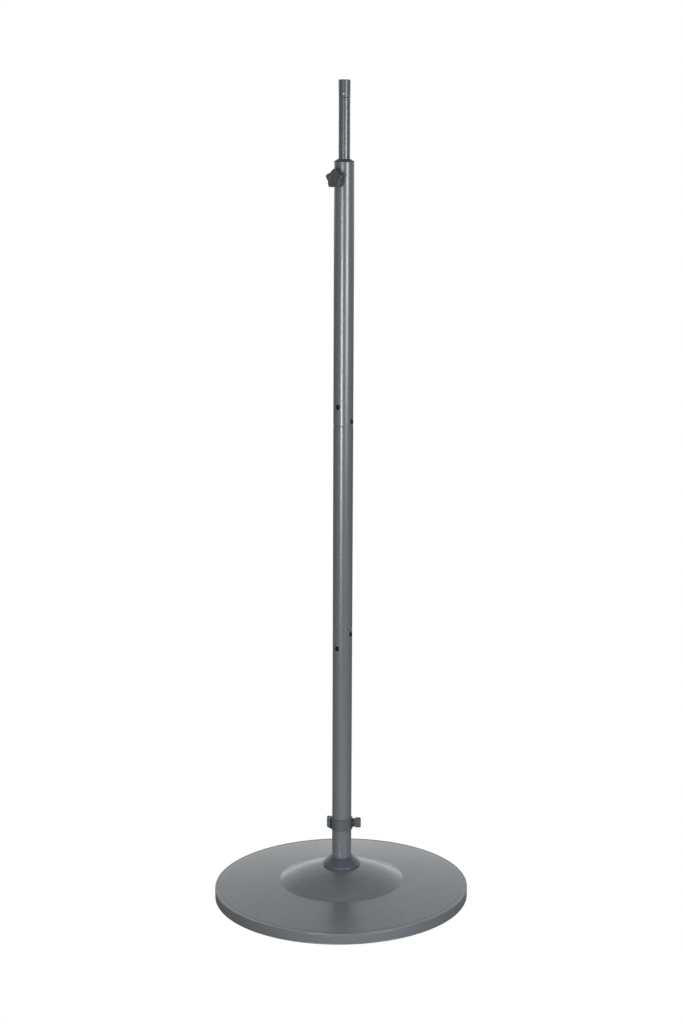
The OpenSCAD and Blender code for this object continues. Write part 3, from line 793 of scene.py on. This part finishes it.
def ring_knob():
    start, head, end = 25.2, 26.2, 37.7
    flutes = 12

    def fluted(r, depth):
        return lambda a: r - depth * (0.5 - 0.5 * math.cos(flutes * a)) ** 1.4

    bore = 2.52
    levels = [
        (start + 8, None), (start + 8, flat(bore)), (start, flat(bore)), (start, flat(8.0)),
        (start + 0.3, flat(8.4)), (head, flat(8.5)), (head + 0.2, flat(8.6)),
        (head + 0.25, fluted(9.0, 0.4)), (head + 0.5, fluted(9.5, 0.8)), (head + 1.0, fluted(9.85, 1.0)),
        (head + 1.6, fluted(10.0, 1.1)), (end - 1.8, fluted(10.0, 1.1)), (end - 1.0, fluted(9.85, 1.0)),
        (end - 0.45, fluted(9.4, 0.8)), (end - 0.12, fluted(8.7, 0.4)), (end, fluted(8.0, 0.1)),
        (end - 0.05, flat(6.6)), (end - 0.45, flat(6.1)), (end - 0.5, flat(5.4)),
        (end - 0.35, flat(2.5)), (end - 0.3, None),
    ]
    return placed(polar_loft(levels, 192), radial(90, RING_SCREW_Z))


def ring_pad():
    pad = placed(tube_between(0, 3.0, 17.5, 20.6, 0.2, 48), radial(90, RING_SCREW_Z))
    pole = tube_between(0, POLE_R + RUN_GAP, RING_SCREW_Z - 9, RING_SCREW_Z + 9, 0, 192)
    return boolean(pad, pole)


# ---------------------------------------------------------------- clamp

def star_radius(segments):
    """Radius of the five-pointed outline at each segment: round tips with shallow valleys between them."""
    turn = 2 * math.pi
    tip, valley = (19.6, 3.2), (13.8, 9.0)
    corners = []
    for k in range(10):
        r, fillet = valley if k % 2 else tip
        a = turn * (0.25 + k / 10)
        corners.append((r * math.cos(a), r * math.sin(a), fillet))
    polar = sorted((math.atan2(y, x) % turn, math.hypot(x, y)) for x, y in rounded(corners, 0, 10))
    polar = [(polar[-1][0] - turn, polar[-1][1])] + polar + [(polar[0][0] + turn, polar[0][1])]
    radii = []
    for k in range(segments):
        a = turn * k / segments
        after = next(i for i, point in enumerate(polar) if point[0] > a)
        (a0, r0), (a1, r1) = polar[after - 1], polar[after]
        radii.append(r0 + (r1 - r0) * (a - a0) / (a1 - a0))
    return radii


def star_knob():
    segments = 240
    radii = star_radius(segments)
    back, plate, front = 25.0, 27.0, 39.5
    mean = 13.4

    def star(inset, circle=0.0):
        def radius_at(a):
            r = radii[round(a / (2 * math.pi) * segments) % segments] - inset
            return r * (1 - circle) + mean * circle * 0.8
        return radius_at

    levels = [
        (back + 9, None), (back + 9, flat(3.02)), (back, flat(3.02)), (back, flat(8.3)),
        (back + 0.5, flat(8.9)), (plate - 0.3, flat(9.0)), (plate + 0.1, flat(9.4)),
        (plate + 0.15, star(3.2, 0.5)), (plate + 0.2, star(1.6)), (plate + 0.5, star(0.8)),
        (plate + 1.0, star(0.3)), (plate + 1.8, star(0.0)), (front - 2.6, star(0.0)),
        (front - 1.5, star(0.35)), (front - 0.7, star(1.0)), (front - 0.25, star(1.9)),
        (front, star(3.0, 0.15)), (front - 0.1, star(4.0, 0.6)), (front - 0.3, flat(8.4)),
        (front - 0.8, flat(8.0)), (front - 1.0, flat(7.2)), (front - 0.7, flat(4.0)), (front - 0.6, None),
    ]
    return placed(polar_loft(levels, segments), radial(CLAMP_BEARING, CLAMP_Z))


def weld_bead(boss_r):
    """Bead along the line where the boss meets the pole."""
    around, section, bead = 96, 10, 0.8
    rings = []
    for k in range(around):
        a = 2 * math.pi * k / around
        x, y = boss_r * math.cos(a), boss_r * math.sin(a)
        centre = Vector((x, y, math.sqrt(POLE_R ** 2 - x ** 2)))
        out = Vector((math.cos(a), math.sin(a), 0))
        ripple = bead * (1 + 0.16 * math.sin(18 * a) + 0.12 * noise.noise(Vector((x, y, 3.7))))
        ring = []
        for j in range(section):
            b = 2 * math.pi * j / section
            ring.append(centre + (out * math.cos(b) + Vector((0, 0, 1)) * math.sin(b)) * ripple)
        rings.append(ring)
    return skin(rings, closed=True)


def clamp_boss():
    boss_r = 7.5
    line = rounded([(3.05, 17), (boss_r, 17), (boss_r, 24.5, 0.7), (3.05, 24.5, 0.4)], 0.1, 4)
    pole = placed(tube_between(0, POLE_R, -12, 12, 0, 192), Matrix.Rotation(math.pi / 2, 4, "X"))
    boss = boolean(revolve(line, 72), pole)
    return placed(joined([boss, weld_bead(boss_r)]), radial(CLAMP_BEARING, CLAMP_Z))


def clamp_pad():
    line = rounded([
        (0, 9), (5, 9), (5, 14.6, 0.4), (3.05, 14.6, 0.2), (3.05, 12.63), (0, 12.63),
    ], 0.05, 3, closed=False)
    pad = placed(revolve(line, 64), radial(CLAMP_BEARING, CLAMP_Z))
    return boolean(pad, tube_between(0, MAST_R + RUN_GAP, CLAMP_Z - 9, CLAMP_Z + 9, 0, 192))


def guide_bush():
    tube_top = high("upper_tube")
    foot = low("guide_bush")
    bore = MAST_R + RUN_GAP
    body_r = POLE_BORE - RUN_GAP
    line = rounded([
        (bore, foot, 0.6), (body_r - 1, foot, 0.3), (body_r, foot + 2, 0.5), (body_r, tube_top, 0.05),
        (POLE_R, tube_top, 0.1), (POLE_R, tube_top + 0.5, 0.3), (12.7, high("guide_bush"), 0.4),
        (12.0, high("guide_bush"), 0.2), (bore, high("guide_bush") - 0.9, 0.1),
    ], 0.3, 4)
    return drilled(revolve(line, 128), [(5.1, 8, 19.5, radial(CLAMP_BEARING, CLAMP_Z))])


# ---------------------------------------------------------------- mast

PIN_BEARINGS = (120.0, 240.0)
PIN_Z = (low("fitting_pins") + high("fitting_pins")) / 2
CLIP_T = 1.2
CLIP_Z = (low("retaining_rings"), high("retaining_rings") - CLIP_T)


def mast_tube():
    z0, z1 = low("mast_tube"), high("mast_tube")
    line = [(MAST_BORE, z0), (MAST_R - 0.4, z0), (MAST_R, z0 + 0.4)]
    for z in CLIP_Z:
        line += [(MAST_R, z - SNUG_GAP), (MAST_R - 0.6, z - SNUG_GAP)]
        line += [(MAST_R - 0.6, z + CLIP_T + SNUG_GAP), (MAST_R, z + CLIP_T + SNUG_GAP)]
    line += [(MAST_R, z1 - 0.9), (MAST_R - 0.7, z1), (MAST_BORE, z1)]
    tube = revolve(rounded(line, 0.08, 3), 112)
    return drilled(tube, [(1.52, 5, 14, radial(bearing, PIN_Z)) for bearing in PIN_BEARINGS])


def retaining_rings():
    clips = []
    for z in CLIP_Z:
        line = rounded([(10.42, z), (13.5, z), (13.5, z + CLIP_T), (10.42, z + CLIP_T)], 0.15, 2)
        clips.append(open_ring(line, 0, 325, 72))
    return joined(clips)


def top_fitting():
    foot, top = low("top_fitting"), high("top_fitting")
    shoulder = high("mast_tube")
    outer, bore, plug_r = 11.4, 8.0, MAST_BORE - SNUG_GAP
    line = rounded([
        (bore, foot), (MAST_BORE - 0.6, foot), (plug_r, foot + 0.6), (plug_r, shoulder + 0.4, 0.02),
        (outer - 1.1, shoulder + 0.4, 0.1), (outer - 0.2, shoulder + 1.3),
        (outer - 0.2, BUTTON_Z + 4.8, 0.05), (outer, BUTTON_Z + 5.0, 0.05),
        (outer, top, 1.1), (bore, top, 0.7),
    ], 0.2, 5)
    holes = [(3.05, 6, 14, radial(BUTTON_BEARING, BUTTON_Z))]
    holes += [(1.52, 5, 14, radial(bearing, PIN_Z)) for bearing in PIN_BEARINGS]
    return drilled(revolve(line, 112), holes)


def fitting_pins():
    pins = [tube_between(0, 1.5, 8.1, 10.9, 0.2, 32) for _ in PIN_BEARINGS]
    return joined([placed(pin, radial(bearing, PIN_Z)) for pin, bearing in zip(pins, PIN_BEARINGS)])


def snap_button():
    """The button: a flange inside the bore, a shank and a domed tip."""
    tip, tip_r = 13.4, 3.6
    line = rounded([(0, 5.85), (4.0, 5.85), (4.0, 6.85), (3.0, 6.85)], 0.15, 3, closed=False)
    line += [(3.0, 11.6), (2.95, 12.0), (2.75, 12.3)]
    line += arc(0, tip - tip_r, tip_r, 48, 90, 8)[1:-1] + [(0, tip)]
    return placed(revolve(line, 64), radial(BUTTON_BEARING, BUTTON_Z))


def button_spring():
    """A bent leaf: up the back of the bore, round the bend and up behind the button."""
    leaf, width, front, back = 0.4, 6.0, 5.85, 7.2
    mid, bend = (front - back) / 2, (front + back) / 2 - leaf / 2
    bend_z = high("mast_tube") - 30
    middle = [(-back + leaf / 2, bend_z + 20 * (1 - i / 6)) for i in range(7)]
    middle += arc(mid, bend_z, bend, 180, 360, 24)[1:]
    middle += [(front - leaf / 2 - 0.01, bend_z + (BUTTON_Z + 5 - bend_z) * i / 12) for i in range(1, 13)]
    sides = offset_face(middle, leaf / 2 - 0.01) + offset_face(middle, 0.01 - leaf / 2)[::-1]
    bm = slab(sides, width, 0.1)
    bm.transform(Matrix.Rotation(math.radians(BUTTON_BEARING - 90), 4, "Z"))
    return bm


# ---------------------------------------------------------------- pieces

piece("base_cover", base_cover(), "pole", PAINT_BASE)
piece("base_pan", base_pan(), "pole", PAINT_BASE)
piece("base_weight", base_weight(), "pole", CAST)
piece("rubber_feet", rubber_feet(), "pole", FOOT_RUBBER)
piece("pan_screws", pan_screws(), "pole", ZINC)
piece("centre_bolt", centre_bolt(), "pole", ZINC)
piece("lock_washer", lock_washer(), "pole", ZINC)
# plain sleeves and washers: bore and outside radius, edge radius
for node, bore, outside, edge in (
    ("load_washer", 6.25, 18, 0.4),
    ("spacer_sleeve", 6.5, 15, 0.4),
    ("tube_plug", 6.02, POLE_BORE - SNUG_GAP, 0.8),
):
    piece(node, tube_between(bore, outside, low(node), high(node), edge), "pole", ZINC)

piece("foot_collar", foot_collar(), "foot_collar", COLLAR)
piece("lower_tube", pole_section("lower_tube", LOWER_SCREWS), "pole", PAINT_POLE)
piece("middle_tube", pole_section("middle_tube", []), "pole", PAINT_POLE)
piece("upper_tube", upper_tube(), "pole", PAINT_POLE)
piece("lower_coupler", coupler("lower_coupler", LOWER_SCREWS), "pole", STEEL)
piece("upper_coupler", coupler("upper_coupler", UPPER_SCREWS), "pole", STEEL)
piece("lower_joint_screws", joint_screws(LOWER_SCREWS), "pole", BLACK_OXIDE)
piece("upper_joint_screws", joint_screws(UPPER_SCREWS), "pole", BLACK_OXIDE)

piece("cable_ring", cable_ring(), "cable_ring", RING)
insert = placed(tube_between(2.55, 3.98, 22.02, 25.0, 0.25, 48), radial(90, RING_SCREW_Z))
piece("ring_insert", insert, "cable_ring", BRASS)
piece("ring_pad", ring_pad(), "ring_pad", NYLON)
stud = placed(threaded(2.5, 20.6, 32.5, 0.8), radial(90, RING_SCREW_Z))
piece("ring_stud", stud, "ring_screw", ZINC)
piece("ring_knob", ring_knob(), "ring_screw", RING_KNOB)

piece("guide_bush", guide_bush(), "pole", CAP)
piece("clamp_boss", clamp_boss(), "pole", PAINT_POLE)
piece("clamp_pad", clamp_pad(), "clamp_pad", NYLON)
stud = placed(threaded(3.0, 12.65, 33, 1.0), radial(CLAMP_BEARING, CLAMP_Z))
piece("knob_stud", stud, "star_knob", ZINC)
piece("star_knob", star_knob(), "star_knob", KNOB)

piece("mast_tube", mast_tube(), "mast", PAINT_MAST)
glide_z = (low("mast_glide"), high("mast_glide"))
glide = tube_between(MAST_R + RUN_GAP, POLE_BORE - RUN_GAP, *glide_z, 0.8, 128)
piece("mast_glide", glide, "mast_glide", NYLON)
piece("retaining_rings", retaining_rings(), "mast", STEEL)
piece("top_fitting", top_fitting(), "mast", PAINT_MAST)
piece("fitting_pins", fitting_pins(), "mast", STEEL)
piece("snap_button", snap_button(), "snap_button", BUTTON)

spring = piece("button_spring", button_spring(), None, STEEL)
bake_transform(spring)


# ---------------------------------------------------------------- floor, light and camera

scene = bpy.context.scene
scene.view_settings.view_transform = "Standard"
scene.view_settings.look = "None"
scene.view_settings.exposure = 0.0
scene.view_settings.gamma = 1.0


def floor():
    """A plain white floor. The camera sees it as clean white; the object sees a dimmer one."""
    mesh = bpy.data.meshes.new("floor")
    reach = 60.0
    corners = [(-reach, -reach, 0), (reach, -reach, 0), (reach, reach, 0), (-reach, reach, 0)]
    mesh.from_pydata(corners, [], [(0, 1, 2, 3)])
    obj = bpy.data.objects.new("floor", mesh)
    scene.collection.objects.link(obj)
    material = bpy.data.materials.new("floor_white")
    material.use_nodes = True
    tree = material.node_tree
    tree.nodes.clear()
    out = tree.nodes.new("ShaderNodeOutputMaterial")
    path = tree.nodes.new("ShaderNodeLightPath")
    white = tree.nodes.new("ShaderNodeEmission")
    white.inputs["Strength"].default_value = 1.0
    plain = tree.nodes.new("ShaderNodeBsdfDiffuse")
    plain.inputs["Color"].default_value = (0.30, 0.30, 0.30, 1.0)
    choose = tree.nodes.new("ShaderNodeMixShader")
    tree.links.new(path.outputs["Is Camera Ray"], choose.inputs[0])
    tree.links.new(plain.outputs[0], choose.inputs[1])
    tree.links.new(white.outputs[0], choose.inputs[2])
    tree.links.new(choose.outputs[0], out.inputs["Surface"])
    mesh.materials.append(material)


def studio_world():
    """White behind the object for the camera. Everything else sees a dim room with a lit white wall behind
    the object, brightest near the floor."""
    world = bpy.data.worlds.new("studio")
    scene.world = world
    world.use_nodes = True
    tree = world.node_tree
    tree.nodes.clear()
    out = tree.nodes.new("ShaderNodeOutputWorld")
    path = tree.nodes.new("ShaderNodeLightPath")
    backdrop = tree.nodes.new("ShaderNodeBackground")
    backdrop.inputs["Color"].default_value = (1, 1, 1, 1)
    room = tree.nodes.new("ShaderNodeBackground")
    room.inputs["Color"].default_value = (0.97, 0.985, 1.0, 1)
    coordinates = tree.nodes.new("ShaderNodeTexCoord")
    split = tree.nodes.new("ShaderNodeSeparateXYZ")
    tree.links.new(coordinates.outputs["Generated"], split.inputs[0])

    def fade(socket, start, end, a, b):
        made = tree.nodes.new("ShaderNodeMapRange")
        made.interpolation_type = "SMOOTHSTEP"
        for key, value in zip(("From Min", "From Max", "To Min", "To Max"), (start, end, a, b)):
            made.inputs[key].default_value = value
        tree.links.new(split.outputs[socket], made.inputs["Value"])
        return made.outputs["Result"]

    # how bright the wall is at each height, by the Z of the direction towards it
    heights = tree.nodes.new("ShaderNodeValToRGB")
    stops = (
        (0.08, 1.0), (0.17, 0.56), (0.245, 0.355), (0.40, 0.41), (0.50, 0.44), (0.60, 0.25), (0.75, 0.08),
    )
    ramp = heights.color_ramp.elements
    ramp[0].position = stops[0][0]
    ramp[1].position = stops[-1][0]
    for place, _ in stops[1:-1]:
        ramp.new(place)
    for element, (_, value) in zip(ramp, stops):
        element.color = (value, value, value, 1)
    tree.links.new(split.outputs["Z"], heights.inputs[0])
    wall = tree.nodes.new("ShaderNodeMath")
    wall.operation = "MULTIPLY"
    tree.links.new(heights.outputs["Color"], wall.inputs[0])
    tree.links.new(fade("Y", 0.1, 0.7, 0.0, 1.8), wall.inputs[1])
    ambient = 0.215
    light = tree.nodes.new("ShaderNodeMath")
    tree.links.new(wall.outputs[0], light.inputs[0])
    light.inputs[1].default_value = ambient
    tree.links.new(light.outputs[0], room.inputs["Strength"])
    choose = tree.nodes.new("ShaderNodeMixShader")
    tree.links.new(path.outputs["Is Camera Ray"], choose.inputs[0])
    tree.links.new(room.outputs[0], choose.inputs[1])
    tree.links.new(backdrop.outputs[0], choose.inputs[2])
    tree.links.new(choose.outputs[0], out.inputs["Surface"])


def soft_box(name, bearing, distance, z, width, height, tilt, power, mirrored=True):
    """A soft box round the pole, facing it and tilted up by degrees. One that isn't mirrored lights without
    showing in reflections."""
    data = bpy.data.lights.new(name, "AREA")
    data.shape = "RECTANGLE"
    data.size = width
    data.size_y = height
    data.energy = power
    obj = bpy.data.objects.new(name, data)
    obj.visible_glossy = mirrored
    a = math.radians(bearing)
    obj.location = (distance * math.sin(a), -distance * math.cos(a), z)
    obj.rotation_euler = (math.radians(90 + tilt), 0, a)
    scene.collection.objects.link(obj)


def overhead(name, x, y, z, size, power):
    """A square light that faces down and doesn't show in reflections."""
    data = bpy.data.lights.new(name, "AREA")
    data.size = size
    data.energy = power
    obj = bpy.data.objects.new(name, data)
    obj.location = (x, y, z)
    obj.visible_glossy = False
    scene.collection.objects.link(obj)


def camera():
    """The viewpoint: lens in mm, height and distance in metres, turns in degrees. The view is turned to the
    right and shifted back, as in a picture cut from the left part of a wider one."""
    lens, height, distance = 64.9, 1.4259, 3.485
    pitch, roll, yaw, shift = 10.572, 0.76, 2.933, -0.0922
    data = bpy.data.cameras.new("camera")
    data.lens = lens
    data.sensor_width = 36.0
    data.shift_x = shift
    data.clip_end = 200.0
    obj = bpy.data.objects.new("camera", data)
    turn = Matrix.Rotation(math.radians(-yaw), 4, "Z")
    look = Matrix.Rotation(math.radians(90 - pitch), 4, "X") @ Matrix.Rotation(math.radians(roll), 4, "Z")
    obj.matrix_world = Matrix.Translation((0, -distance, height)) @ turn @ look
    scene.collection.objects.link(obj)
    scene.camera = obj


floor()
studio_world()
soft_box("right_box", 37, 2.6, 1.24, 1.0, 1.0, 12, 49)
soft_box("left_box", -20.5, 2.6, 0.82, 0.58, 1.0, 12, 47)
soft_box("low_fill", 10, 0.65, 0.035, 0.9, 0.05, -45, 2.3, mirrored=False)
overhead("backdrop_box", 0, 1.8, 1.6, 1.4, 26)
camera()
